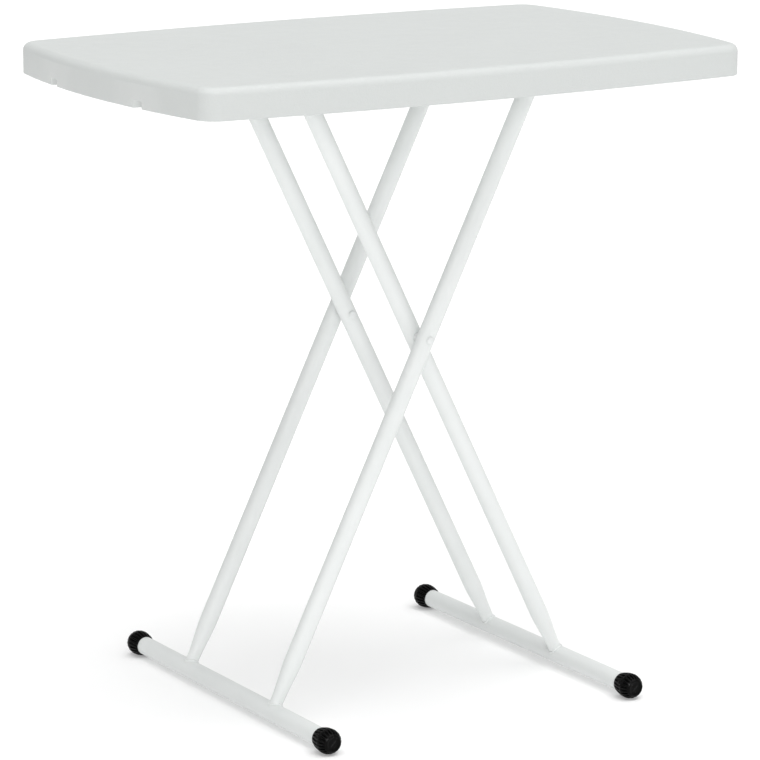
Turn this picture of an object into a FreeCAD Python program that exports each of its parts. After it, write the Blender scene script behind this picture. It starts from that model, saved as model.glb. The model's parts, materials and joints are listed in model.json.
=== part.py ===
import FreeCAD, Part
import os
import Sketcher

# Folding table with a moulded top on a scissor frame of round steel tube.
# +X runs along the top's length, +Y from the front edge to the rear edge, +Z up.
# The origin is on the floor, below the middle of the top.  Lengths are in millimetres.
#
# The outer frame hangs from two hinge brackets under the +X half of the top and stands on
# the -X foot bar.  The inner frame is riveted to it where the legs cross, stands on the +X
# foot bar, and its cross tube sits in one seat of the two height racks under the -X half.

DIMENSIONS = {
    # top
    "table_height": 775.0,
    "top_length": 760.0,
    "top_depth": 500.0,
    "end_bow": 23.0,
    "side_bow": 18.6,
    "corner_radius": 27.0,
    "rim_depth": 37.0,
    "rim_wall": 13.0,
    "panel_thick": 12.0,
    "edge_round": 9.5,
    "rim_round": 1.5,
    "notch_width": 18.5,
    "notch_rise": 9.0,
    "notch_round": 2.5,
    "dimple_radius": 13.0,
    "dimple_depth": 7.0,
    "dimple_draft": 20.0,
    "dimple_pitch": 45.0,
    # frames
    "leg_od": 21.4,
    "bar_od": 22.2,
    "cross_od": 19.0,
    "tube_wall": 1.0,
    "swage_od": 15.5,
    "swage_reach": 66.0,
    "leg_overrun": 13.0,
    "outer_leg_y": 103.0,
    "inner_leg_y": 76.0,
    "foot_x": 208.5,
    "leg_top_x": 166.8,
    "bar_height": 15.0,
    "foot_span": 489.0,
    # foot caps
    "cap_radius": 15.0,
    "cap_length": 29.0,
    "cap_sleeve": 19.0,
    "cap_lip": 11.9,
    "cap_face": 9.25,
    "cap_waist": 16.5,
    "cap_band": 2.0,
    "band_root": 12.1,
    "face_rim": 1.0,
    "face_recess": 0.6,
    "rib_floor": 12.5,
    "rib_gap": 5.0,
    # pivot
    "rivet_radius": 3.0,
    "rivet_head": 4.9,
    "rivet_rim": 0.8,
    "rivet_dome": 1.5,
    "running_gap": 0.06,
    "side_gap": 0.3,
    "spacer_radius": 5.6,
    # hinge brackets and height racks
    "fitting_y": 48.0,
    "bracket_wall": 3.8,
    "bracket_width": 22.0,
    "flange_thick": 4.0,
    "bracket_reach": 30.0,
    "rack_width": 10.0,
    "rack_flange": 30.0,
    "rack_end": 20.0,
    "seat_gap": 0.3,
    "tooth_drop": 3.0,
    "tooth_tip": 7.0,
    "tooth_slope": 6.0,
    "height_step": 50.0,
    # screws
    "screw_radius": 2.0,
    "screw_bite": 8.5,
    "screw_head": 4.0,
    "screw_dome": 2.6,
    "screw_inset": 6.0,
    "screw_offset": 10.0,
}

SEATS = 4
DIMPLE_COLUMNS = 15
DIMPLE_ROWS = 3
RIBS = 20
FRONT_REAR = {"front": -1, "rear": 1}

doc = FreeCAD.newDocument("FoldingTable")
sheet = doc.addObject("Spreadsheet::Sheet", "Dims")
for row, (alias, value) in enumerate(DIMENSIONS.items(), 1):
    sheet.set("A%d" % row, str(value))
    sheet.setAlias("A%d" % row, alias)
doc.recompute()


def number(expression):
    """The value that an expression on the sheet has now."""
    value = sheet.evalExpression(expression)
    return float(getattr(value, "Value", value))


# Expressions for the places that the driving dimensions settle.
HINGE_Z = "(Dims.table_height - Dims.rim_depth + Dims.notch_rise - Dims.leg_od / 2)"
LEG_RUN = "((Dims.foot_x + Dims.leg_top_x) / (Dims.table_height - Dims.bar_height))"
HINGE_X = "(%s * (%s - Dims.bar_height) - Dims.foot_x)" % (LEG_RUN, HINGE_Z)
LEAN = "atan(%s)" % LEG_RUN
LOWER_REACH = "(Dims.foot_x / sin(%s))" % LEAN
UPPER_REACH = "(%s / sin(%s))" % (HINGE_X, LEAN)
LEG_REACH = "(%s + %s)" % (LOWER_REACH, UPPER_REACH)
PIVOT_Z = "(Dims.bar_height + %s * cos(%s))" % (LOWER_REACH, LEAN)
PANEL_BELOW = "(Dims.table_height - Dims.panel_thick)"
FITTING_TOP = "(%s - %s)" % (PANEL_BELOW, HINGE_Z)
SEAT_RADIUS = "(Dims.cross_od / 2 + Dims.seat_gap)"


def seat_x(index):
    """Where the inner cross tube lies when the top is index steps below its full height."""
    rise = "(%s - Dims.bar_height - %d * Dims.height_step)" % (HINGE_Z, index)
    return "(%s - 2 * %s * sin(acos(%s / %s)))" % (HINGE_X, UPPER_REACH, rise, LEG_REACH)


def new_body(label):
    body = doc.addObject("PartDesign::Body", "Body_" + label)
    body.Label = label
    return body


def new_sketch(body, name, role, height=None):
    """A sketch on one of the body's own origin planes, raised along its normal."""
    sketch = body.newObject("Sketcher::SketchObject", name)
    plane = [feature for feature in body.Origin.OriginFeatures if feature.Role == role][0]
    sketch.AttachmentSupport = [(plane, "")]
    sketch.MapMode = "FlatFace"
    if height:
        sketch.setExpression("AttachmentOffset.Base.z", height)
    return sketch


def lock_point(sketch, geometry, end, x_text, y_text):
    for kind, text in (("DistanceX", x_text), ("DistanceY", y_text)):
        rule = Sketcher.Constraint(kind, -1, 1, geometry, end, number(text))
        index = sketch.addConstraint(rule)
        sketch.setExpression("Constraints[%d]" % index, text)


def draw_loop(sketch, corners):
    """A closed loop.  Each corner is (x, y) or (x, y, radius, (via x, via y)): an arc of that
    radius then runs to the next corner, past the via point."""
    first = sketch.GeometryCount
    points = [FreeCAD.Vector(number(c[0]), number(c[1]), 0) for c in corners]
    for index, corner in enumerate(corners):
        start, end = points[index], points[(index + 1) % len(points)]
        if len(corner) == 2:
            sketch.addGeometry(Part.LineSegment(start, end), False)
            continue
        via = FreeCAD.Vector(number(corner[3][0]), number(corner[3][1]), 0)
        sketch.addGeometry(Part.Arc(start, via, end), False)
    ends = []
    for index in range(len(points)):
        start = sketch.getPoint(first + index, 1)
        reversed_arc = start.distanceToPoint(points[index]) > 1e-6
        ends.append((2, 1) if reversed_arc else (1, 2))
    for index, corner in enumerate(corners):
        after = (index + 1) % len(corners)
        lock_point(sketch, first + index, ends[index][0], corner[0], corner[1])
        rule = ("Coincident", first + index, ends[index][1], first + after, ends[after][0])
        sketch.addConstraint(Sketcher.Constraint(*rule))
        if len(corner) > 2:
            rule = Sketcher.Constraint("Radius", first + index, number(corner[2]))
            radius = sketch.addConstraint(rule)
            sketch.setExpression("Constraints[%d]" % radius, corner[2])


def draw_circle(sketch, x_text, y_text, radius_text):
    centre = FreeCAD.Vector(number(x_text), number(y_text), 0)
    normal = FreeCAD.Vector(0, 0, 1)
    index = sketch.addGeometry(Part.Circle(centre, normal, number(radius_text)), False)
    lock_point(sketch, index, 3, x_text, y_text)
    radius = sketch.addConstraint(Sketcher.Constraint("Radius", index, number(radius_text)))
    sketch.setExpression("Constraints[%d]" % radius, radius_text)


def extrude(body, kind, sketch, length, midplane=False, reverse=False, draft=None):
    """A Pad or a Pocket.  A pocket has to take some metal away."""
    doc.recompute()
    before = 0.0 if kind == "Pad" else body.Shape.Volume
    feature = body.newObject("PartDesign::" + kind, kind + "_" + sketch.Name)
    feature.Profile = sketch
    feature.setExpression("Length", length)
    feature.Midplane = midplane
    feature.Reversed = reverse
    if draft:
        feature.setExpression("TaperAngle", draft)
    sketch.Visibility = False
    body.Tip = feature
    doc.recompute()
    if kind == "Pocket" and body.Shape.Volume > before - 1e-6:
        raise RuntimeError("%s cuts nothing from %s" % (feature.Name, body.Label))
    return feature


def revolve(body, sketch):
    """A full turn of the profile about the body's Z axis, which is the sketch's V axis."""
    feature = body.newObject("PartDesign::Revolution", "Revolution_" + sketch.Name)
    feature.Profile = sketch
    feature.ReferenceAxis = (sketch, ["V_Axis"])
    feature.Angle = 360.0
    sketch.Visibility = False
    body.Tip = feature
    doc.recompute()
    return feature


def fillet(body, edges, radius, name):
    before = body.Tip
    feature = body.newObject("PartDesign::Fillet", name)
    feature.Base = (before, ["Edge%d" % number_of for number_of in edges])
    feature.setExpression("Radius", radius)
    body.Tip = feature
    doc.recompute()
    return feature


def place(item, x_text="0", y_text="0", z_text="0", axis=(0, 1, 0), angle_text="0"):
    item.Placement = FreeCAD.Placement(
        FreeCAD.Vector(0, 0, 0), FreeCAD.Rotation(FreeCAD.Vector(*axis), number(angle_text))
    )
    item.setExpression("Placement.Base.x", x_text)
    item.setExpression("Placement.Base.y", y_text)
    item.setExpression("Placement.Base.z", z_text)
    if angle_text != "0":
        item.setExpression("Placement.Rotation.Angle", angle_text)


def vertical_edges(shape, near_z):
    """Edges that run straight along Z and whose middle is at the height near_z."""
    found = []
    for index, edge in enumerate(shape.Edges, 1):
        box = edge.BoundBox
        upright = box.XLength < 1e-3 and box.YLength < 1e-3 and box.ZLength > 1.0
        if upright and abs(box.Center.z - near_z) < 0.5:
            found.append(index)
    return found


def level_edges(shape, at_z):
    """Edges that lie in the level plane at_z."""
    found = []
    for index, edge in enumerate(shape.Edges, 1):
        box = edge.BoundBox
        if box.ZLength < 1e-3 and abs(box.Center.z - at_z) < 1e-3:
            found.append(index)
    return found


def draw_bowed_outline(sketch, inset):
    """Four outward-bowed edges that meet at sharp corners, inset from the top's outline."""
    corner_x = "(Dims.top_length / 2 - Dims.end_bow - %s)" % inset
    corner_y = "(Dims.top_depth / 2 - Dims.side_bow - %s)" % inset
    end_radius = "((%s ^ 2 + Dims.end_bow ^ 2) / (2 * Dims.end_bow))" % corner_y
    side_radius = "((%s ^ 2 + Dims.side_bow ^ 2) / (2 * Dims.side_bow))" % corner_x
    end_via = "(Dims.top_length / 2 - %s)" % inset
    side_via = "(Dims.top_depth / 2 - %s)" % inset
    draw_loop(sketch, [
        (corner_x, "-" + corner_y, end_radius, (end_via, "0")),
        (corner_x, corner_y, side_radius, ("0", side_via)),
        ("-" + corner_x, corner_y, end_radius, ("-" + end_via, "0")),
        ("-" + corner_x, "-" + corner_y, side_radius, ("0", "-" + side_via)),
    ])


def fitting_screws():
    """Each fastener under the top: name of its group, x and y as expressions."""
    places = []
    for side in FRONT_REAR.values():
        for end in (-1, 1):
            x = "(%s + %d * (Dims.bracket_reach - Dims.screw_inset))" % (HINGE_X, end)
            places.append(("hinge_bracket_screws", x, "%d * Dims.fitting_y" % side))
        for x in rack_screw_x():
            y = "%d * (Dims.fitting_y + Dims.screw_offset)" % side
            places.append(("height_rack_screws", x, y))
    return places


def rack_right():
    return "(%s + Dims.rack_end)" % seat_x(0)


def rack_left():
    tooth = "(%s + Dims.tooth_tip + Dims.tooth_slope)" % SEAT_RADIUS
    return "(%s - %s - Dims.screw_inset)" % (seat_x(SEATS - 1), tooth)


def rack_screw_x():
    right = "(%s - Dims.screw_inset)" % rack_right()
    left = "(%s + Dims.screw_inset)" % rack_left()
    return [right, "((%s + %s) / 2)" % (right, left), left]


def make_tabletop():
    """Moulded panel with a deep rim, moulded-in dimples below, and two leg notches."""
    body = new_body("tabletop")
    outline = new_sketch(body, "Outline", "XY_Plane")
    draw_bowed_outline(outline, "0")
    extrude(body, "Pad", outline, "Dims.rim_depth", reverse=True)
    rim_middle = -DIMENSIONS["rim_depth"] / 2
    fillet(body, vertical_edges(body.Shape, rim_middle), "Dims.corner_radius", "Corners")
    fillet(body, level_edges(body.Shape, 0.0), "Dims.edge_round", "TopEdge")

    recess = new_sketch(body, "Recess", "XY_Plane", "-Dims.rim_depth")
    draw_bowed_outline(recess, "Dims.rim_wall")
    extrude(body, "Pocket", recess, "Dims.rim_depth - Dims.panel_thick", reverse=True)
    wall_middle = -(DIMENSIONS["rim_depth"] + DIMENSIONS["panel_thick"]) / 2
    inner_corners = vertical_edges(body.Shape, wall_middle)
    fillet(body, inner_corners, "Dims.corner_radius - Dims.rim_wall", "RecessCorners")
    fillet(body, level_edges(body.Shape, -DIMENSIONS["rim_depth"]), "Dims.rim_round", "RimEdge")

    notches = new_sketch(body, "Notches", "YZ_Plane")
    roof = "(Dims.notch_rise - Dims.rim_depth)"
    for side in FRONT_REAR.values():
        low = "(%d * Dims.outer_leg_y - Dims.notch_width / 2)" % side
        high = "(%d * Dims.outer_leg_y + Dims.notch_width / 2)" % side
        nook = "0.2929 * Dims.notch_round"
        draw_loop(notches, [
            (low, "-Dims.rim_depth - 1"),
            (high, "-Dims.rim_depth - 1"),
            (high, roof + " - Dims.notch_round", "Dims.notch_round",
             ("%s - %s" % (high, nook), "%s - %s" % (roof, nook))),
            (high + " - Dims.notch_round", roof),
            (low + " + Dims.notch_round", roof, "Dims.notch_round",
             ("%s + %s" % (low, nook), "%s - %s" % (roof, nook))),
            (low, roof + " - Dims.notch_round"),
        ])
    extrude(body, "Pocket", notches, "Dims.top_length", reverse=False)

    pilots = new_sketch(body, "Pilots", "XY_Plane", "-Dims.panel_thick")
    for _, x, y in fitting_screws():
        draw_circle(pilots, x, y, "Dims.screw_radius")
    extrude(body, "Pocket", pilots, "Dims.screw_bite", reverse=True)
    make_dimples(body)
    place(body, z_text="Dims.table_height")
    return body


def make_dimples(body):
    """Rows of tapered dimples: three along each long side, and one down the middle."""
    first_x = "-Dims.dimple_pitch * %d" % (DIMPLE_COLUMNS // 2)
    side_row = new_sketch(body, "SideDimple", "XY_Plane", "-Dims.panel_thick")
    first_y = "-(Dims.outer_leg_y + Dims.dimple_pitch * %d)" % (DIMPLE_ROWS - 1)
    draw_circle(side_row, first_x, first_y, "Dims.dimple_radius")
    middle_row = new_sketch(body, "MiddleDimple", "XY_Plane", "-Dims.panel_thick")
    draw_circle(middle_row, first_x, "0", "Dims.dimple_radius")
    for sketch, rows in ((side_row, DIMPLE_ROWS), (middle_row, 1)):
        seed = extrude(body, "Pocket", sketch, "Dims.dimple_depth", reverse=True,
                       draft="-Dims.dimple_draft")
        pattern = body.newObject("PartDesign::MultiTransform", "Pattern_" + sketch.Name)
        steps = [linear_step(body, sketch, "H_Axis", DIMPLE_COLUMNS)]
        if rows > 1:
            steps.append(linear_step(body, sketch, "V_Axis", rows))
            mirror = body.newObject("PartDesign::Mirrored", "Mirror_" + sketch.Name)
            mirror.MirrorPlane = (sketch, ["H_Axis"])
            steps.append(mirror)
        pattern.Transformations = steps
        pattern.Originals = [seed]
        body.Tip = pattern
        doc.recompute()


def linear_step(body, sketch, axis, count):
    step = body.newObject("PartDesign::LinearPattern", "Step_%s_%s" % (sketch.Name, axis))
    step.Direction = (sketch, [axis])
    step.Occurrences = count
    step.setExpression("Length", "Dims.dimple_pitch * %d" % (count - 1))
    return step


def make_leg(label, y_text, side, hole_radius, lean_sign):
    """Leg tube: its own Z runs from the foot bar's axis to the cross tube's axis and past it.
    The lower end is swaged down and coped over the foot bar."""
    body = new_body(label)
    profile = new_sketch(body, "Profile", "XZ_Plane")
    outside = "Dims.leg_od / 2"
    neck = "Dims.swage_od / 2"
    end = "(%s + Dims.leg_overrun)" % LEG_REACH
    draw_loop(profile, [
        (neck + " - Dims.tube_wall", "0"),
        (neck, "0"),
        (outside, "Dims.swage_reach"),
        (outside, end),
        (outside + " - Dims.tube_wall", end),
        (outside + " - Dims.tube_wall", "Dims.swage_reach"),
    ])
    revolve(body, profile)
    cope = new_sketch(body, "Cope", "XZ_Plane")
    draw_circle(cope, "0", "0", "Dims.bar_od / 2")
    extrude(body, "Pocket", cope, "2 * Dims.leg_od", midplane=True)
    hole = new_sketch(body, "PivotHole", "XZ_Plane")
    draw_circle(hole, "0", LOWER_REACH, hole_radius)
    extrude(body, "Pocket", hole, "2 * Dims.leg_od", midplane=True)
    place(body, "%d * Dims.foot_x" % -lean_sign, "%d * %s" % (side, y_text),
          "Dims.bar_height", (0, lean_sign, 0), LEAN)
    return body


def make_cross_tube(label, y_text, lean_sign):
    """Tube between the tops of two legs, coped at each end to the leg's outside."""
    body = new_body(label)
    ring = new_sketch(body, "Ring", "XZ_Plane")
    draw_circle(ring, "0", "0", "Dims.cross_od / 2")
    draw_circle(ring, "0", "0", "Dims.cross_od / 2 - Dims.tube_wall")
    extrude(body, "Pad", ring, "2 * %s" % y_text, midplane=True)
    copes = new_sketch(body, "Copes", "XY_Plane")
    for side in FRONT_REAR.values():
        draw_circle(copes, "0", "%d * %s" % (side, y_text), "Dims.leg_od / 2")
    extrude(body, "Pocket", copes, "2 * Dims.leg_od", midplane=True)
    place(body, "%d * %s" % (lean_sign, HINGE_X), "0", HINGE_Z, (0, lean_sign, 0), LEAN)
    return body


def make_foot_bar(label, lean_sign):
    body = new_body(label)
    ring = new_sketch(body, "Ring", "XZ_Plane")
    draw_circle(ring, "0", "0", "Dims.bar_od / 2")
    draw_circle(ring, "0", "0", "Dims.bar_od / 2 - Dims.tube_wall")
    length = "Dims.foot_span - 2 * (Dims.cap_length - Dims.cap_sleeve)"
    extrude(body, "Pad", ring, length, midplane=True)
    place(body, "%d * Dims.foot_x" % -lean_sign, "0", "Dims.bar_height")
    return body


def make_foot_cap(label, side, lean_sign):
    """Ribbed barrel cap over the end of a foot bar, with a plain band round its waist.  Its
    own Z points out of the bar, from the lip round the tube to the flat end face."""
    body = new_body(label)
    profile = new_sketch(body, "Profile", "XZ_Plane")
    bore = "Dims.bar_od / 2"
    recess_floor = "Dims.cap_length - Dims.face_recess"
    inner_rise = "(Dims.cap_radius - Dims.cap_lip)"
    outer_rise = "(Dims.cap_radius - Dims.cap_face)"
    outer_run = "(Dims.cap_length - Dims.cap_waist)"
    inner_radius = "((%s ^ 2 + Dims.cap_waist ^ 2) / (2 * %s))" % (inner_rise, inner_rise)
    outer_radius = "((%s ^ 2 + %s ^ 2) / (2 * %s))" % (outer_rise, outer_run, outer_rise)
    inner_via = ("Dims.cap_radius - %s / 4" % inner_rise, "Dims.cap_waist / 2")
    outer_via = ("Dims.cap_radius - %s / 4" % outer_rise, "Dims.cap_waist + %s / 2" % outer_run)
    draw_loop(profile, [
        ("Dims.cap_lip", "0", inner_radius, inner_via),
        ("Dims.cap_radius", "Dims.cap_waist", outer_radius, outer_via),
        ("Dims.cap_face", "Dims.cap_length"),
        ("Dims.cap_face - Dims.face_rim", "Dims.cap_length"),
        ("Dims.cap_face - Dims.face_rim - Dims.face_recess", recess_floor),
        ("0", recess_floor),
        ("0", "Dims.cap_sleeve"),
        (bore, "Dims.cap_sleeve"),
        (bore, "0"),
    ])
    revolve(body, profile)
    gap = new_sketch(body, "RibGap", "XY_Plane", "-1")
    half_step = "cos(%f)" % (180.0 / RIBS)
    across = "sin(%f)" % (180.0 / RIBS)
    floor_x, floor_y = "Dims.rib_floor * " + half_step, "Dims.rib_floor * " + across
    wide = "(Dims.rib_gap / 2)"
    far = "(Dims.cap_radius + 1) * "
    draw_loop(gap, [
        (floor_x, floor_y),
        (far + half_step + " + " + wide + " * " + across, far + across + " - " + wide),
        (far + half_step + " - " + wide + " * " + across, far + across + " + " + wide),
    ])
    seed = extrude(body, "Pocket", gap, "Dims.cap_length + 2", reverse=True)
    pattern = body.newObject("PartDesign::PolarPattern", "Ribs")
    pattern.Originals = [seed]
    pattern.Axis = (gap, ["N_Axis"])
    pattern.Angle = 360.0
    pattern.Occurrences = RIBS
    body.Tip = pattern
    band = new_sketch(body, "Band", "XZ_Plane")
    low, high = "Dims.cap_waist - Dims.cap_band / 2", "Dims.cap_waist + Dims.cap_band / 2"
    draw_loop(band, [
        ("Dims.band_root", low),
        ("Dims.cap_radius", low),
        ("Dims.cap_radius", high),
        ("Dims.band_root", high),
    ])
    revolve(body, band)
    start = "%d * (Dims.foot_span / 2 - Dims.cap_length)" % side
    place(body, "%d * Dims.foot_x" % -lean_sign, start, "Dims.bar_height",
          (-side, 0, 0), "90")
    return body


def make_pivot_rivet(label, side):
    """Rivet with low domed heads, through both legs.  Its own Z points inward, from the outer
    leg's face."""
    body = new_body(label)
    profile = new_sketch(body, "Profile", "XZ_Plane")
    grip = "(Dims.outer_leg_y - Dims.inner_leg_y + Dims.leg_od + Dims.side_gap)"
    dome = "((Dims.rivet_head ^ 2 + Dims.rivet_dome ^ 2) / (2 * Dims.rivet_dome))"
    tail = "(%s + Dims.rivet_rim)" % grip
    head_via = ("Dims.rivet_head * 0.6", "-Dims.rivet_rim - Dims.rivet_dome * 0.65")
    tail_via = ("Dims.rivet_head * 0.6", tail + " + Dims.rivet_dome * 0.65")
    draw_loop(profile, [
        ("0", "-Dims.rivet_rim - Dims.rivet_dome", dome, head_via),
        ("Dims.rivet_head", "-Dims.rivet_rim"),
        ("Dims.rivet_head", "0"),
        ("Dims.rivet_radius", "0"),
        ("Dims.rivet_radius", grip),
        ("Dims.rivet_head", grip),
        ("Dims.rivet_head", tail, dome, tail_via),
        ("0", tail + " + Dims.rivet_dome"),
    ])
    revolve(body, profile)
    place(body, "0", "%d * (Dims.outer_leg_y + Dims.leg_od / 2)" % side, PIVOT_Z,
          (side, 0, 0), "90")
    return body


def make_pivot_spacer(label, side):
    """Loose collar on the rivet, between the outer leg and the inner leg."""
    body = new_body(label)
    ring = new_sketch(body, "Ring", "XZ_Plane")
    draw_circle(ring, "0", "0", "Dims.spacer_radius")
    draw_circle(ring, "0", "0", "Dims.rivet_radius")
    width = "(Dims.outer_leg_y - Dims.inner_leg_y - Dims.leg_od - Dims.side_gap)"
    extrude(body, "Pad", ring, width, midplane=True)
    middle = "%d * (Dims.outer_leg_y - Dims.leg_od / 2 - %s / 2)" % (side, width)
    place(body, "0", middle, PIVOT_Z)
    return body


def make_hinge_bracket(label, side):
    """Moulded saddle with a bore for the outer cross tube and two screw flanges."""
    body = new_body(label)
    profile = new_sketch(body, "Profile", "XZ_Plane")
    half = "(Dims.cross_od / 2 + Dims.bracket_wall)"
    shelf = "(%s - Dims.flange_thick)" % FITTING_TOP
    draw_loop(profile, [
        ("-Dims.bracket_reach", FITTING_TOP),
        ("-Dims.bracket_reach", shelf),
        ("-" + half, shelf),
        ("-" + half, "0", half, ("-0.7071 * " + half, "-0.7071 * " + half)),
        ("0", "-" + half, half, ("0.7071 * " + half, "-0.7071 * " + half)),
        (half, "0"),
        (half, shelf),
        ("Dims.bracket_reach", shelf),
        ("Dims.bracket_reach", FITTING_TOP),
    ])
    draw_circle(profile, "0", "0", "Dims.cross_od / 2 + Dims.running_gap")
    extrude(body, "Pad", profile, "Dims.bracket_width", midplane=True)
    holes = new_sketch(body, "Holes", "XY_Plane", shelf + " - 1")
    for end in (-1, 1):
        draw_circle(holes, "%d * (Dims.bracket_reach - Dims.screw_inset)" % end, "0",
                    "Dims.screw_radius")
    extrude(body, "Pocket", holes, "Dims.flange_thick + 2", reverse=True)
    place(body, HINGE_X, "%d * Dims.fitting_y" % side, HINGE_Z)
    return body


def make_height_rack(label, side):
    """Comb of seats for the inner cross tube.  Each tooth stops the tube on its -X side, and
    the seats are open towards +X, the way the tube leaves when the frame is folded."""
    body = new_body(label)
    comb = new_sketch(body, "Comb", "XZ_Plane")
    corners = [(rack_left(), FITTING_TOP), (rack_right(), FITTING_TOP),
               (rack_right(), SEAT_RADIUS)]
    for index in range(SEATS):
        stop = "(%s - %s)" % (seat_x(index), SEAT_RADIUS)
        via = ("%s - %s * 0.7071" % (seat_x(index), SEAT_RADIUS), SEAT_RADIUS + " * 0.7071")
        corners += [
            (seat_x(index), SEAT_RADIUS, SEAT_RADIUS, via),
            (stop, "0"),
            (stop, "-Dims.tooth_drop"),
            (stop + " - Dims.tooth_tip", "-Dims.tooth_drop"),
            (stop + " - Dims.tooth_tip - Dims.tooth_slope", SEAT_RADIUS),
        ]
    corners.append((rack_left(), SEAT_RADIUS))
    draw_loop(comb, corners)
    extrude(body, "Pad", comb, "Dims.rack_width", midplane=True)
    flange = new_sketch(body, "Flange", "XY_Plane", FITTING_TOP)
    half = "(Dims.rack_flange / 2)"
    draw_loop(flange, [
        (rack_left(), "-" + half),
        (rack_right(), "-" + half),
        (rack_right(), half),
        (rack_left(), half),
    ])
    extrude(body, "Pad", flange, "Dims.flange_thick", reverse=True)
    holes = new_sketch(body, "Holes", "XY_Plane", "%s + 1" % FITTING_TOP)
    for x in rack_screw_x():
        draw_circle(holes, x, "%d * Dims.screw_offset" % side, "Dims.screw_radius")
    extrude(body, "Pocket", holes, "Dims.flange_thick + 2")
    place(body, "0", "%d * Dims.fitting_y" % side, HINGE_Z)
    return body


def make_screw(name, x_text, y_text):
    """Pan-head screw up into the panel: head below the flange, shank through it."""
    head = doc.addObject("Part::Cylinder", name + "_head")
    head.setExpression("Radius", "Dims.screw_head")
    head.setExpression("Height", "Dims.screw_dome")
    place(head, x_text, y_text, "%s - Dims.flange_thick - Dims.screw_dome" % PANEL_BELOW)
    shank = doc.addObject("Part::Cylinder", name + "_shank")
    shank.setExpression("Radius", "Dims.screw_radius")
    shank.setExpression("Height", "Dims.flange_thick + Dims.screw_bite")
    place(shank, x_text, y_text, "%s - Dims.flange_thick" % PANEL_BELOW)
    screw = doc.addObject("Part::Fuse", name)
    screw.Base = head
    screw.Tool = shank
    return screw


def make_screw_groups():
    groups = {}
    for index, (group, x, y) in enumerate(fitting_screws()):
        groups.setdefault(group, []).append(make_screw("screw_%d" % index, x, y))
    made = []
    for group, screws in groups.items():
        compound = doc.addObject("Part::Compound", group)
        compound.Label = group
        compound.Links = screws
        made.append(compound)
    return made


nodes = [make_tabletop()]
nodes += make_screw_groups()
FRAMES = {
    "outer": ("Dims.outer_leg_y", "Dims.rivet_radius", 1),
    "inner": ("Dims.inner_leg_y", "Dims.rivet_radius + Dims.running_gap", -1),
}
for frame, (leg_y, hole, sign) in FRAMES.items():
    nodes.append(make_cross_tube(frame + "_cross_tube", leg_y, sign))
    nodes.append(make_foot_bar(frame + "_foot_bar", sign))
    for end, side in FRONT_REAR.items():
        nodes.append(make_leg("%s_leg_%s" % (frame, end), leg_y, side, hole, sign))
        nodes.append(make_foot_cap("%s_foot_cap_%s" % (frame, end), side, sign))
for end, side in FRONT_REAR.items():
    nodes.append(make_hinge_bracket("hinge_bracket_" + end, side))
    nodes.append(make_height_rack("height_rack_" + end, side))
    nodes.append(make_pivot_rivet("pivot_rivet_" + end, side))
    nodes.append(make_pivot_spacer("pivot_spacer_" + end, side))
doc.recompute()

for item in doc.Objects:
    if "Invalid" in item.State or "Error" in item.State:
        raise RuntimeError("%s failed: %s" % (item.Label, item.State))
for node in nodes:
    if node.Shape.isNull() or not node.Shape.isValid():
        raise RuntimeError("%s has no valid shape" % node.Label)

os.makedirs("parts", exist_ok=True)
for node in nodes:
    node.Shape.exportStep("parts/%s.step" % node.Label)
    box = node.Shape.BoundBox
    print("%-24s solids %d  x %8.2f %8.2f  y %8.2f %8.2f  z %8.2f %8.2f  cm3 %.1f" % (
        node.Label, len(node.Shape.Solids), box.XMin, box.XMax, box.YMin, box.YMax,
        box.ZMin, box.ZMax, node.Shape.Volume / 1000))
print("hinge x %.3f z %.3f  pivot z %.3f  lean %.4f  upper reach %.3f" % (
    number(HINGE_X), number(HINGE_Z), number(PIVOT_Z), number(LEAN), number(UPPER_REACH)))
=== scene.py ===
import json
import math

import bmesh
import bpy
from mathutils import Matrix, Vector


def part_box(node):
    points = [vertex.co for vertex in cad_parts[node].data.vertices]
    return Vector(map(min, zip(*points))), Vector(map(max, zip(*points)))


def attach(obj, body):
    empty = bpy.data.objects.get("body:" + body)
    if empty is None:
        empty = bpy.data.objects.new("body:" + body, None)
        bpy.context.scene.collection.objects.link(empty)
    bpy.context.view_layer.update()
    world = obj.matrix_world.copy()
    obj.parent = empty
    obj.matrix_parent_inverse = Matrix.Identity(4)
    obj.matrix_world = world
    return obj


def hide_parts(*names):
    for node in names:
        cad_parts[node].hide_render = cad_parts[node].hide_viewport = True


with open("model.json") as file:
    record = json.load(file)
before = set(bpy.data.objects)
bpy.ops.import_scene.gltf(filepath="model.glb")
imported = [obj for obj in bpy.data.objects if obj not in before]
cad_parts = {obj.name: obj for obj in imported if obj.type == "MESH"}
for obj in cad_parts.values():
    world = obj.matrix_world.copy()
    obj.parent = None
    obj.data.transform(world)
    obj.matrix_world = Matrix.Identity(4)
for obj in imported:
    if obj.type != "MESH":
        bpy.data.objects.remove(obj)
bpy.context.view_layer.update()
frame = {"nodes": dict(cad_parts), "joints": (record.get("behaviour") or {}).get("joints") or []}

NODES = frame["nodes"]
PIVOT = next(Vector(joint["pos_m"]) for joint in frame["joints"]
             if joint["name"] == "scissor_pivot")

# The object in metres: +X along the top, +Z up, the floor at z = 0.
TUBE_WALL = 0.0010
SEGMENTS = 72
ENDS = {"front": -1, "rear": 1}
AXIS_RADIUS = 0.0001    # the smallest ring, where a turned profile meets its axis


# ---------------------------------------------------------------- materials

def new_material(name, slot, roughness, metallic=0.0):
    """A material that carries a slot of the record, with its node tree and its shader."""
    material = bpy.data.materials.new(name)
    material.use_nodes = True
    tree = material.node_tree
    shader = tree.nodes["Principled BSDF"]
    shader.inputs["Roughness"].default_value = roughness
    shader.inputs["Metallic"].default_value = metallic
    material["slot"] = slot
    return material, tree, shader


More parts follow.
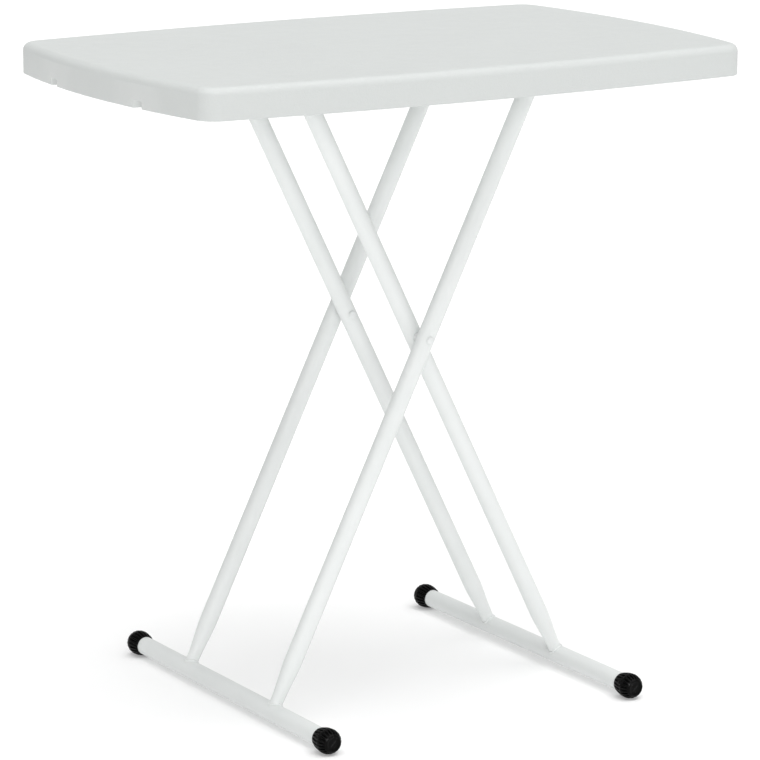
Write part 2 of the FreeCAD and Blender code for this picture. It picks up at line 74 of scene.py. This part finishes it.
def add_node(tree, kind, links=None, **settings):
    """A node with its settings, where links maps an input's name to another node's output."""
    node = tree.nodes.new(kind)
    for key, value in settings.items():
        if key in node.inputs:
            node.inputs[key].default_value = value
        else:
            setattr(node, key, value)
    for key, source in (links or {}).items():
        tree.links.new(source, node.inputs[key])
    return node


def noise(tree, where, scale, detail=3.0, roughness=0.5):
    node = add_node(tree, "ShaderNodeTexNoise", {"Vector": where}, Scale=scale, Detail=detail)
    node.inputs["Roughness"].default_value = roughness
    return node.outputs["Fac"]


def remap(tree, source, low, high, to_low, to_high):
    node = add_node(tree, "ShaderNodeMapRange", {"Value": source})
    values = {"From Min": low, "From Max": high, "To Min": to_low, "To Max": to_high}
    for key, value in values.items():
        node.inputs[key].default_value = value
    return node.outputs["Result"]


def mix_colours(tree, factor, first, second):
    """Mixes two colours, each a tuple or another node's output."""
    node = add_node(tree, "ShaderNodeMix", data_type="RGBA")
    tree.links.new(factor, node.inputs["Factor"])
    for socket, colour in ((node.inputs[6], first), (node.inputs[7], second)):
        if isinstance(colour, tuple):
            socket.default_value = (*colour, 1.0)
        else:
            tree.links.new(colour, socket)
    return node.outputs[2]


def bump(tree, height, strength, distance, normal=None):
    links = {"Height": height}
    if normal:
        links["Normal"] = normal
    node = add_node(tree, "ShaderNodeBump", links, Strength=strength, Distance=distance)
    return node.outputs["Normal"]


def object_position(tree):
    return add_node(tree, "ShaderNodeTexCoord").outputs["Object"]


def edge_wear_and_highlight(tree, low, high):
    """Near 1 on outward edges, from the mesh's own curvature. It places edge wear, and on the
    black cap a painted highlight along the rib crowns.
    """
    point = add_node(tree, "ShaderNodeNewGeometry").outputs["Pointiness"]
    return remap(tree, point, low, high, 0.0, 1.0)


def top_plastic():
    """Blow-moulded polyethylene: fine leather grain, faint flow marks, satin."""
    material, tree, shader = new_material("top_plastic", "top_plastic", 0.5)
    where = object_position(tree)
    cloud = noise(tree, where, 5.0, 4.0)
    base = mix_colours(tree, remap(tree, cloud, 0.35, 0.65, 0.0, 1.0),
                       (0.543, 0.563, 0.554), (0.553, 0.573, 0.563))
    fleck = noise(tree, where, 900.0, 2.0)
    colour = mix_colours(tree, remap(tree, fleck, 0.25, 0.75, 0.0, 1.0), base,
                         (0.569, 0.587, 0.579))
    worn = mix_colours(tree, edge_wear_and_highlight(tree, 0.52, 0.62), colour, (0.600, 0.616, 0.608))
    tree.links.new(worn, shader.inputs["Base Color"])
    scuff = noise(tree, where, 38.0, 6.0, 0.65)
    tree.links.new(remap(tree, scuff, 0.3, 0.7, 0.44, 0.60), shader.inputs["Roughness"])
    cells = add_node(tree, "ShaderNodeTexVoronoi", {"Vector": where}, Scale=620.0,
                     feature="SMOOTH_F1")
    cells.inputs["Smoothness"].default_value = 0.6
    grain = bump(tree, cells.outputs["Distance"], 0.35, 0.00035)
    pebble = bump(tree, noise(tree, where, 260.0, 3.0), 0.30, 0.0005, grain)
    slump = bump(tree, noise(tree, where, 9.0, 2.0), 0.04, 0.0012, pebble)
    tree.links.new(slump, shader.inputs["Normal"])
    shader.inputs["Specular IOR Level"].default_value = 0.28
    return material


def powder_coat(name, slot, first, second, worn_edge_and_highlight):
    """Baked powder paint on steel: orange peel, a soft gloss, thinner on the edges."""
    material, tree, shader = new_material(name, slot, 0.35)
    where = object_position(tree)
    cloud = noise(tree, where, 14.0, 3.0)
    base = mix_colours(tree, remap(tree, cloud, 0.3, 0.7, 0.0, 1.0), first, second)
    colour = mix_colours(tree, edge_wear_and_highlight(tree, 0.54, 0.68), base, worn_edge_and_highlight)
    tree.links.new(colour, shader.inputs["Base Color"])
    patch = noise(tree, where, 60.0, 5.0, 0.6)
    tree.links.new(remap(tree, patch, 0.3, 0.7, 0.38, 0.52), shader.inputs["Roughness"])
    peel = bump(tree, noise(tree, where, 420.0, 2.0), 0.22, 0.00035)
    sag = bump(tree, noise(tree, where, 70.0, 2.0), 0.18, 0.0006, peel)
    tree.links.new(sag, shader.inputs["Normal"])
    shader.inputs["Specular IOR Level"].default_value = 0.2
    shader.inputs["Coat Weight"].default_value = 0.03
    shader.inputs["Coat Roughness"].default_value = 0.25
    return material


def moulded_plastic(name, slot, first, second, rough_low, rough_high, worn_edge_and_highlight,
                    specular=0.25):
    """Injection-moulded plastic: spark-eroded grain, and a paler colour on outward edges: rubbed
    edges on the grey fittings and the spacer, a painted highlight on the crowns of the black
    cap's ribs.
    """
    material, tree, shader = new_material(name, slot, rough_low)
    where = object_position(tree)
    cloud = noise(tree, where, 45.0, 4.0)
    base = mix_colours(tree, remap(tree, cloud, 0.3, 0.7, 0.0, 1.0), first, second)
    # painted highlight: the paler edge colour goes on outward edges, which on the black cap
    # paints highlights along the rib crowns
    colour = mix_colours(tree, edge_wear_and_highlight(tree, 0.53, 0.66), base, worn_edge_and_highlight)
    tree.links.new(colour, shader.inputs["Base Color"])
    rub = noise(tree, where, 120.0, 5.0, 0.6)
    tree.links.new(remap(tree, rub, 0.3, 0.7, rough_low, rough_high), shader.inputs["Roughness"])
    grain = bump(tree, noise(tree, where, 1100.0, 2.0), 0.30, 0.0002)
    flow = bump(tree, noise(tree, where, 130.0, 2.0), 0.20, 0.0004, grain)
    tree.links.new(flow, shader.inputs["Normal"])
    shader.inputs["Specular IOR Level"].default_value = specular
    return material


def zinc_plate():
    """Bright zinc on turned steel screws: turning marks and a cloudy passivated film."""
    material, tree, shader = new_material("zinc_plate", "zinc_steel", 0.3, metallic=1.0)
    where = object_position(tree)
    film = noise(tree, where, 300.0, 4.0)
    colour = mix_colours(tree, remap(tree, film, 0.3, 0.7, 0.0, 1.0),
                         (0.50, 0.50, 0.47), (0.66, 0.65, 0.60))
    tree.links.new(colour, shader.inputs["Base Color"])
    tree.links.new(remap(tree, film, 0.3, 0.7, 0.26, 0.46), shader.inputs["Roughness"])
    marks = bump(tree, noise(tree, where, 1500.0, 2.0), 0.25, 0.0001)
    tree.links.new(marks, shader.inputs["Normal"])
    return material


TOP = top_plastic()
FRAME_PAINT = powder_coat("frame_powder_coat", "frame_paint", (0.720, 0.742, 0.733),
                          (0.746, 0.763, 0.756), (0.772, 0.782, 0.777))
RIVET_PAINT = powder_coat("rivet_paint", "rivet_paint", (0.700, 0.720, 0.715),
                          (0.720, 0.735, 0.730), (0.740, 0.750, 0.746))
# The cap's pale edge colour is a painted highlight on the rib crowns, about twenty times brighter
# than its black.
CAP_BLACK = moulded_plastic("cap_black", "cap_plastic", (0.0008, 0.0008, 0.0008),
                            (0.0018, 0.0018, 0.0018), 0.24, 0.36, (0.030, 0.030, 0.031), 0.08)
FITTING_GREY = moulded_plastic("fitting_grey", "fitting_plastic", (0.42, 0.435, 0.435),
                               (0.46, 0.475, 0.475), 0.40, 0.55, (0.53, 0.545, 0.545))
SPACER_PALE = moulded_plastic("spacer_pale", "spacer_plastic", (0.60, 0.62, 0.62),
                              (0.64, 0.66, 0.66), 0.42, 0.56, (0.69, 0.70, 0.70))
ZINC = zinc_plate()


# ---------------------------------------------------------------- mesh helpers

def finish_piece(name, bm, material, body, nodes, smooth_angle=35.0):
    """Turns a bmesh into a piece that rides on a body and stands for CAD nodes."""
    bmesh.ops.remove_doubles(bm, verts=bm.verts, dist=1e-7)
    bmesh.ops.recalc_face_normals(bm, faces=bm.faces)
    mesh = bpy.data.meshes.new(name)
    bm.to_mesh(mesh)
    bm.free()
    mesh.materials.append(material)
    smooth_mesh(mesh, smooth_angle)
    piece = bpy.data.objects.new(name, mesh)
    bpy.context.scene.collection.objects.link(piece)
    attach(piece, body)
    if nodes:
        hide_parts(*nodes)


def smooth_mesh(mesh, angle):
    """Smooth shading, with edges sharper than the angle kept crisp."""
    mesh.shade_smooth()
    mesh.set_sharp_from_angle(angle=math.radians(angle))


def frame_matrix(origin, along, side):
    """Local Z along the first direction and local Y along the second, at the origin."""
    z_axis = along.normalized()
    x_axis = side.cross(z_axis).normalized()
    y_axis = z_axis.cross(x_axis)
    matrix = Matrix((x_axis, y_axis, z_axis)).transposed().to_4x4()
    matrix.translation = origin
    return matrix


def skin_rings(bm, rings, matrix, closed=True):
    """Quads between successive rings of points, as one tube or, if closed, one torus."""
    made = [[bm.verts.new(matrix @ Vector(point)) for point in ring] for ring in rings]
    pairs = list(zip(made, made[1:]))
    if closed:
        pairs.append((made[-1], made[0]))
    for low, high in pairs:
        count = len(low)
        for index in range(count):
            after = (index + 1) % count
            bm.faces.new((low[index], low[after], high[after], high[index]))


def turn(index, count=SEGMENTS):
    return 2.0 * math.pi * index / count


def circle_ring(radius, height, count=SEGMENTS):
    return [(radius * math.cos(turn(i, count)), radius * math.sin(turn(i, count)), height)
            for i in range(count)]


def add_lathe(bm, profile, matrix, closed=True, count=SEGMENTS):
    """Turns a profile of (radius, height) points about local Z."""
    rings = [circle_ring(radius, height, count) for radius, height in profile]
    skin_rings(bm, rings, matrix, closed)


def smooth_step(value):
    value = min(1.0, max(0.0, value))
    return value * value * (3.0 - 2.0 * value)


def add_bead(bm, path, radius, matrix, ripples, across=10):
    """A weld bead: a closed cord of weld metal along the path, with the ripples of its run."""
    count = len(path)
    points = [Vector(p) for p in path]
    rings = []
    for index, point in enumerate(points):
        ahead = (points[(index + 1) % count] - points[index - 1]).normalized()
        outward = Vector((point.x, point.y, 0.0)).normalized()
        lift = ahead.cross(outward).normalized()
        outward = lift.cross(ahead).normalized()
        phase = (index / count * ripples) % 1.0
        size = radius * (0.86 + 0.14 * math.sin(math.pi * phase))
        size *= 1.0 + 0.10 * math.sin(3.0 * turn(index, count) + 0.7)
        rings.append([point + size * (math.cos(turn(j, across)) * outward
                                      + math.sin(turn(j, across)) * lift)
                      for j in range(across)])
    skin_rings(bm, rings, matrix)


# ---------------------------------------------------------------- tubes

def box_centre(node):
    low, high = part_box(node)
    return (low + high) / 2


def box_size(node):
    low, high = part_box(node)
    return high - low


LEG_RADIUS = box_size("outer_leg_front").y / 2
BAR_RADIUS = box_size("outer_foot_bar").z / 2
CROSS_RADIUS = 0.0095
SWAGE_RADIUS = 0.00775
SWAGE_START = 0.014
SWAGE_END = 0.066
SWAGE_STEPS = 16
LEG_OVERRUN = 0.013
LEG_STEPS = 24
END_ROUND = 0.0005      # the deburred edge of a cut tube
COPE_BITE = 0.0004      # how far a coped foot sinks into the bar
COPE_BORE = 0.85        # the bore's size at the cope, as a share of the outside
TUBE_SINK = 0.0006      # how far a cross tube's end sinks into its leg
BEAD_POINTS = 120
FOOT_BEAD = 0.0015
HEAD_BEAD = 0.0013


def leg_axis(frame_name, end):
    """Where the leg's axis meets the foot bar's axis and the cross tube's axis."""
    bar = box_centre(frame_name + "_foot_bar")
    cross = box_centre(frame_name + "_cross_tube")
    leg_y = box_centre("%s_leg_%s" % (frame_name, end)).y
    return Vector((bar.x, leg_y, bar.z)), Vector((cross.x, leg_y, cross.z))


def leg_radius(height):
    """The leg's outside radius, swaged down in a smooth shoulder above the foot bar."""
    rise = smooth_step((height - SWAGE_START) / (SWAGE_END - SWAGE_START))
    return SWAGE_RADIUS + (LEG_RADIUS - SWAGE_RADIUS) * rise


def make_leg(frame_name, end):
    """A swaged leg tube.  Gives back the leg's own frame and its reach from bar to tube."""
    foot, head = leg_axis(frame_name, end)
    length = (head - foot).length + LEG_OVERRUN
    matrix = frame_matrix(foot, head - foot, Vector((0, 1, 0)))
    bm = bmesh.new()
    bite = BAR_RADIUS - COPE_BITE
    cope = [(x, y, math.sqrt(bite ** 2 - x ** 2))
            for x, y, _ in circle_ring(SWAGE_RADIUS, 0.0)]
    heights = [SWAGE_START + (SWAGE_END - SWAGE_START) * i / SWAGE_STEPS
               for i in range(SWAGE_STEPS + 1)]
    straight = length - 2 * END_ROUND - SWAGE_END
    heights += [SWAGE_END + straight * i / LEG_STEPS for i in range(1, LEG_STEPS + 1)]
    rings = [cope] + [circle_ring(leg_radius(height), height) for height in heights]
    eased = END_ROUND * 0.3
    rings.append(circle_ring(LEG_RADIUS - eased, length - eased))
    rings.append(circle_ring(LEG_RADIUS - END_ROUND, length))
    rings.append(circle_ring(LEG_RADIUS - TUBE_WALL, length))
    rings += [circle_ring(leg_radius(height) - TUBE_WALL, height)
              for height in reversed(heights)]
    rings.append([(x * COPE_BORE, y * COPE_BORE, z) for x, y, z in cope])
    skin_rings(bm, rings, matrix)
    name = "%s_leg_tube_%s" % (frame_name, end)
    finish_piece(name, bm, FRAME_PAINT, frame_name + "_frame",
                 ["%s_leg_%s" % (frame_name, end)])
    return matrix, (head - foot).length


def make_leg_welds(frame_name, end, matrix, reach):
    """The bead round the leg's foot on the bar, and the bead round the cross tube's end."""
    bm = bmesh.new()
    foot_path = [(x, y, math.sqrt(BAR_RADIUS ** 2 - x ** 2) + 0.0004)
                 for x, y, _ in circle_ring(SWAGE_RADIUS + 0.0006, 0.0, BEAD_POINTS)]
    add_bead(bm, foot_path, FOOT_BEAD, matrix, ripples=26)
    inward = -ENDS[end]
    top = matrix @ Vector((0, 0, reach))
    cross_matrix = frame_matrix(top, Vector((0, inward, 0)), Vector((0, 0, 1)))
    cross_path = []
    for x, y, _ in circle_ring(CROSS_RADIUS + 0.0003, 0.0, BEAD_POINTS):
        leg_side = (cross_matrix.to_3x3() @ Vector((x, y, 0))).dot(matrix.to_3x3().col[0])
        cross_path.append((x, y, math.sqrt(LEG_RADIUS ** 2 - leg_side ** 2) + 0.0003))
    add_bead(bm, cross_path, HEAD_BEAD, cross_matrix, ripples=22)
    name = "%s_weld_beads_%s" % (frame_name, end)
    finish_piece(name, bm, FRAME_PAINT, frame_name + "_frame", [], smooth_angle=60.0)


def make_straight_tube(frame_name, part, radius, half, steps):
    """A plain tube along Y, open at both ends, in place of a foot bar or a cross tube."""
    node = "%s_%s" % (frame_name, part)
    matrix = frame_matrix(box_centre(node), Vector((0, 1, 0)), Vector((0, 0, 1)))
    outside = [(radius, -half + 2 * half * i / steps) for i in range(steps + 1)]
    bore = radius - TUBE_WALL
    bm = bmesh.new()
    add_lathe(bm, outside + [(bore, half), (bore, -half)], matrix)
    finish_piece(node + "_painted", bm, FRAME_PAINT, frame_name + "_frame", [node])


def make_cross_tube(frame_name):
    leg_y = abs(box_centre(frame_name + "_leg_front").y)
    make_straight_tube(frame_name, "cross_tube", CROSS_RADIUS,
                       leg_y - LEG_RADIUS + TUBE_SINK, steps=12)


def make_foot_bar(frame_name):
    half = box_size(frame_name + "_foot_bar").y / 2
    make_straight_tube(frame_name, "foot_bar", BAR_RADIUS, half, steps=24)


# ---------------------------------------------------------------- foot caps

RIBS = 20
RIB_POINTS = 12
RIB_DEPTH = 0.0023
CAP_STEPS = 24
CAP_LIP = 0.0119
CAP_FACE = 0.00925
CAP_WAIST = 0.0165
CAP_SLEEVE = 0.019
CAP_BEVEL = 0.0006
DISC_RADIUS = 0.004
SLEEVE_RADIUS = BAR_RADIUS + 0.00005
LIP_FADE = 0.0040
FACE_PLAIN, FACE_FADE = 0.0016, 0.0022
BAND_HALF, BAND_FADE = 0.0007, 0.0012


def cap_profile(radius, length):
    """The barrel's outside from the lip to the end face: two arcs that meet at the waist."""
    points = []
    for start, other, run in ((0.0, CAP_LIP, CAP_WAIST), (length, CAP_FACE, length - CAP_WAIST)):
        rise = radius - other
        arc = (rise ** 2 + run ** 2) / (2 * rise)
        side = []
        for index in range(CAP_STEPS + 1):
            offset = run * (1 - index / CAP_STEPS)
            height = CAP_WAIST - offset if start == 0.0 else CAP_WAIST + offset
            side.append((radius - arc + math.sqrt(arc ** 2 - offset ** 2), height))
        points += side if start == 0.0 else list(reversed(side))[1:]
    return points


def ribbed_ring(radius, height, length):
    """One ring of the ribbed outside.  The grooves fade out at the lip, at the end face and
    on the plain band round the waist."""
    count = RIBS * RIB_POINTS
    fade = smooth_step(height / LIP_FADE)
    fade *= smooth_step((length - FACE_PLAIN - height) / FACE_FADE)
    fade *= smooth_step((abs(height - CAP_WAIST) - BAND_HALF) / BAND_FADE)
    ring = []
    for index in range(count):
        phase = math.cos(RIBS * turn(index, count))
        groove = smooth_step((0.60 - phase) / 1.20)
        here = radius - RIB_DEPTH * fade * groove
        ring.append((here * math.cos(turn(index, count)),
                     here * math.sin(turn(index, count)), height))
    return ring


def cap_inside(length):
    """Radius and height of the rings over the end face, its sunk disc, the sleeve and the lip."""
    disc = length - CAP_BEVEL
    return [(CAP_FACE - CAP_BEVEL * 0.5, length),
            (CAP_FACE - 2 * CAP_BEVEL, length),
            (CAP_FACE - 3 * CAP_BEVEL, length - CAP_BEVEL * 0.5),
            (CAP_FACE - 4 * CAP_BEVEL, disc),
            (DISC_RADIUS, disc),
            (AXIS_RADIUS, disc),
            (AXIS_RADIUS, CAP_SLEEVE),
            (SLEEVE_RADIUS, CAP_SLEEVE),
            (SLEEVE_RADIUS, 0.0004),
            (CAP_LIP - CAP_BEVEL, 0.0)]


def make_foot_cap(frame_name, end):
    node = "%s_foot_cap_%s" % (frame_name, end)
    low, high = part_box(node)
    centre = (low + high) / 2
    radius = (high.z - low.z) / 2
    length = high.y - low.y
    outward = ENDS[end]
    start = Vector((centre.x, low.y if outward > 0 else high.y, centre.z))
    matrix = frame_matrix(start, Vector((0, outward, 0)), Vector((0, 0, 1)))
    rings = [ribbed_ring(ring_radius, height, length)
             for ring_radius, height in cap_profile(radius, length)]
    rings += [circle_ring(ring_radius, height, RIBS * RIB_POINTS)
              for ring_radius, height in cap_inside(length)]
    bm = bmesh.new()
    skin_rings(bm, rings, matrix)
    finish_piece(node + "_ribbed", bm, CAP_BLACK, frame_name + "_frame", [node],
                 smooth_angle=50.0)


# ---------------------------------------------------------------- pivot and fasteners

RIVET_SHANK = 0.003
RIVET_RIM = 0.0008
SCREW_HEAD = 0.004
SCREW_SHANK = 0.002
SCREW_DOME = 0.0026
ROUND_POINTS = 48


def make_rivet(end):
    node = "pivot_rivet_" + end
    low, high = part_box(node)
    outward = ENDS[end]
    outer_face = box_centre("outer_leg_" + end).y + outward * LEG_RADIUS
    inner_face = low.y if outward > 0 else high.y
    head = (high.z - low.z) / 2
    proud = abs((high.y if outward > 0 else low.y) - outer_face)
    grip = abs(outer_face - inner_face) - proud
    start = Vector((PIVOT.x, outer_face, PIVOT.z))
    matrix = frame_matrix(start, Vector((0, -outward, 0)), Vector((0, 0, 1)))
    dome = proud - RIVET_RIM
    arc = [math.pi / 2 * i / 10 for i in range(1, 10)]
    crown = [(head * 0.96 * math.sin(a), -RIVET_RIM - dome * math.cos(a)) for a in arc]
    crown += [(head, -RIVET_RIM + 0.0002), (head, -0.0004), (head - 0.0005, -0.0003)]
    tail = [(radius, grip - height) for radius, height in reversed(crown)]
    under_head = head - 0.0006
    profile = [(AXIS_RADIUS, -proud)] + crown
    profile += [(under_head, 0.0), (RIVET_SHANK, 0.0), (RIVET_SHANK, grip), (under_head, grip)]
    profile += tail + [(AXIS_RADIUS, grip + proud)]
    bm = bmesh.new()
    add_lathe(bm, profile, matrix, closed=False, count=ROUND_POINTS)
    cap_ends(bm)
    finish_piece(node + "_domed", bm, RIVET_PAINT, "outer_frame", [node])


def cap_ends(bm):
    """Closes the open rings that are left at the two ends of a lathed profile."""
    edges = [edge for edge in bm.edges if edge.is_boundary]
    bmesh.ops.holes_fill(bm, edges=edges, sides=0)


def make_screws(node, body):
    """Pan heads with a cross recess on the screws of one group, head down."""
    places = {(round(vert.co.x, 4), round(vert.co.y, 4)) for vert in NODES[node].data.vertices}
    low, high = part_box(node)
    bm = bmesh.new()
    for x, y in cluster(places, 2.5 * SCREW_HEAD):
        start = Vector((x, y, low.z + SCREW_DOME))
        matrix = frame_matrix(start, Vector((0, 0, -1)), Vector((0, 1, 0)))
        tip = start.z - high.z
        profile = [(SCREW_SHANK, tip), (SCREW_SHANK, 0.0), (SCREW_HEAD, 0.0),
                   (SCREW_HEAD, 0.0009), (SCREW_HEAD * 0.95, 0.0016),
                   (SCREW_HEAD * 0.82, 0.0022), (SCREW_HEAD * 0.62, SCREW_DOME),
                   (SCREW_HEAD * 0.45, SCREW_DOME)]
        rings = [circle_ring(radius, height, ROUND_POINTS) for radius, height in profile]
        for scale, depth in ((0.44, 0.0), (0.40, 0.0011), (0.10, 0.0015)):
            rings.append(cross_ring(SCREW_HEAD * scale, SCREW_DOME - depth, ROUND_POINTS))
        skin_rings(bm, rings, matrix, closed=False)
    cap_ends(bm)
    finish_piece(node + "_detailed", bm, ZINC, body, [node])


def cross_ring(radius, height, count):
    """A four-armed ring: the outline of a cross recess."""
    ring = []
    for index in range(count):
        arm = 0.45 + 0.55 * smooth_step(abs(math.cos(2 * turn(index, count))) * 2.2 - 1.2)
        ring.append((radius * arm * math.cos(turn(index, count)),
                     radius * arm * math.sin(turn(index, count)), height))
    return ring


def cluster(points, reach):
    """The middles of groups of points, each group within a reach of its first point."""
    groups = []
    for x, y in sorted(points):
        for group in groups:
            if math.hypot(x - group[0][0], y - group[0][1]) < reach:
                group.append((x, y))
                break
        else:
            groups.append([(x, y)])
    return [tuple((min(values) + max(values)) / 2 for values in zip(*group))
            for group in groups]


# ---------------------------------------------------------------- CAD nodes kept as they are

def dress_cad_node(name, material, bevel=0.0, angle=35.0):
    """Gives a carried-over node its material, with flat faces flat and curved faces smooth.
    Its hard edges stay crisp, or are eased where a bevel is given."""
    node = NODES[name]
    node.data.materials.clear()
    node.data.materials.append(material)
    node.data.shade_smooth()
    weld = node.modifiers.new("weld", "WELD")
    weld.merge_threshold = 1e-6
    if bevel:
        soften = node.modifiers.new("soften", "BEVEL")
        soften.width = bevel
        soften.segments = 2
        soften.angle_limit = math.radians(50)
    part = node.modifiers.new("part", "EDGE_SPLIT")
    part.split_angle = math.radians(angle)
    even = node.modifiers.new("even", "WEIGHTED_NORMAL")
    even.weight = 50
    even.keep_sharp = True


# ---------------------------------------------------------------- the table

for frame_name in ("outer", "inner"):
    for end in ENDS:
        leg_matrix, leg_reach = make_leg(frame_name, end)
        make_leg_welds(frame_name, end, leg_matrix, leg_reach)
        make_foot_cap(frame_name, end)
    make_cross_tube(frame_name)
    make_foot_bar(frame_name)
for end in ENDS:
    make_rivet(end)
    dress_cad_node("pivot_spacer_" + end, SPACER_PALE)
    dress_cad_node("hinge_bracket_" + end, FITTING_GREY, bevel=0.0006)
    dress_cad_node("height_rack_" + end, FITTING_GREY, bevel=0.0006)
make_screws("hinge_bracket_screws", "tabletop")
make_screws("height_rack_screws", "tabletop")
dress_cad_node("tabletop", TOP, angle=40.0)


# ---------------------------------------------------------------- studio

def studio_floor():
    """A wide pale floor that runs to the horizon."""
    bm = bmesh.new()
    reach = 60.0
    corners = [(-reach, -reach), (reach, -reach), (reach, reach), (-reach, reach)]
    bm.faces.new([bm.verts.new((x, y, 0.0)) for x, y in corners])
    mesh = bpy.data.meshes.new("studio_floor")
    bm.to_mesh(mesh)
    bm.free()
    material = bpy.data.materials.new("studio_floor")
    material.use_nodes = True
    shader = material.node_tree.nodes["Principled BSDF"]
    shader.inputs["Base Color"].default_value = (0.75, 0.75, 0.75, 1.0)
    shader.inputs["Roughness"].default_value = 0.9
    shader.inputs["Specular IOR Level"].default_value = 0.1
    shader.inputs["Emission Color"].default_value = (1.0, 1.0, 1.0, 1.0)
    shader.inputs["Emission Strength"].default_value = 0.25
    mesh.materials.append(material)
    floor = bpy.data.objects.new("studio_floor", mesh)
    bpy.context.scene.collection.objects.link(floor)


def softbox(name, azimuth, elevation, softness, power, mirrored=True, spread=True):
    """One broad, distant light.  Azimuth 0 shines along +Y and 90 along -X.  A light that
    isn't mirrored leaves no glare on glossy faces, and one that isn't spread does only that."""
    light = bpy.data.lights.new(name, "SUN")
    light.angle = math.radians(softness)
    light.energy = power
    lamp = bpy.data.objects.new(name, light)
    turned, raised = math.radians(azimuth), math.radians(elevation)
    towards = Vector((math.sin(turned) * math.cos(raised),
                      -math.cos(turned) * math.cos(raised), math.sin(raised)))
    lamp.rotation_mode = "QUATERNION"
    lamp.rotation_quaternion = towards.to_track_quat("Z", "Y")
    lamp.visible_glossy = mirrored
    lamp.visible_diffuse = spread
    bpy.context.scene.collection.objects.link(lamp)


def white_world(strength):
    world = bpy.data.worlds.new("studio")
    world.use_nodes = True
    background = world.node_tree.nodes["Background"]
    background.inputs["Color"].default_value = (1.0, 1.0, 1.0, 1.0)
    background.inputs["Strength"].default_value = strength
    bpy.context.scene.world = world


def studio_camera():
    """A long lens that looks down at the middle of the table from the front left."""
    azimuth, elevation = math.radians(-31.03), math.radians(12.52)
    distance, aim = 4.6235, Vector((0.0, 0.0, 0.3687))
    back = Vector((math.sin(azimuth) * math.cos(elevation),
                   -math.cos(azimuth) * math.cos(elevation), math.sin(elevation)))
    data = bpy.data.cameras.new("camera")
    data.sensor_width = 36.0
    data.lens = 182.93
    data.clip_end = 200.0
    camera = bpy.data.objects.new("camera", data)
    camera.location = aim + back * distance
    camera.rotation_mode = "QUATERNION"
    camera.rotation_quaternion = (-back).to_track_quat("-Z", "Y")
    bpy.context.scene.collection.objects.link(camera)
    bpy.context.scene.camera = camera


studio_floor()
white_world(0.5)
softbox("overhead", azimuth=25.0, elevation=80.0, softness=60.0, power=2.35)
softbox("front_fill", azimuth=-23.0, elevation=10.0, softness=30.0, power=0.92,
        mirrored=False)
softbox("back_fill", azimuth=149.0, elevation=12.0, softness=40.0, power=0.45,
        mirrored=False)
softbox("glint", azimuth=-50.0, elevation=33.0, softness=18.0, power=1.6, spread=False)
studio_camera()
bpy.context.scene.view_settings.view_transform = "Standard"
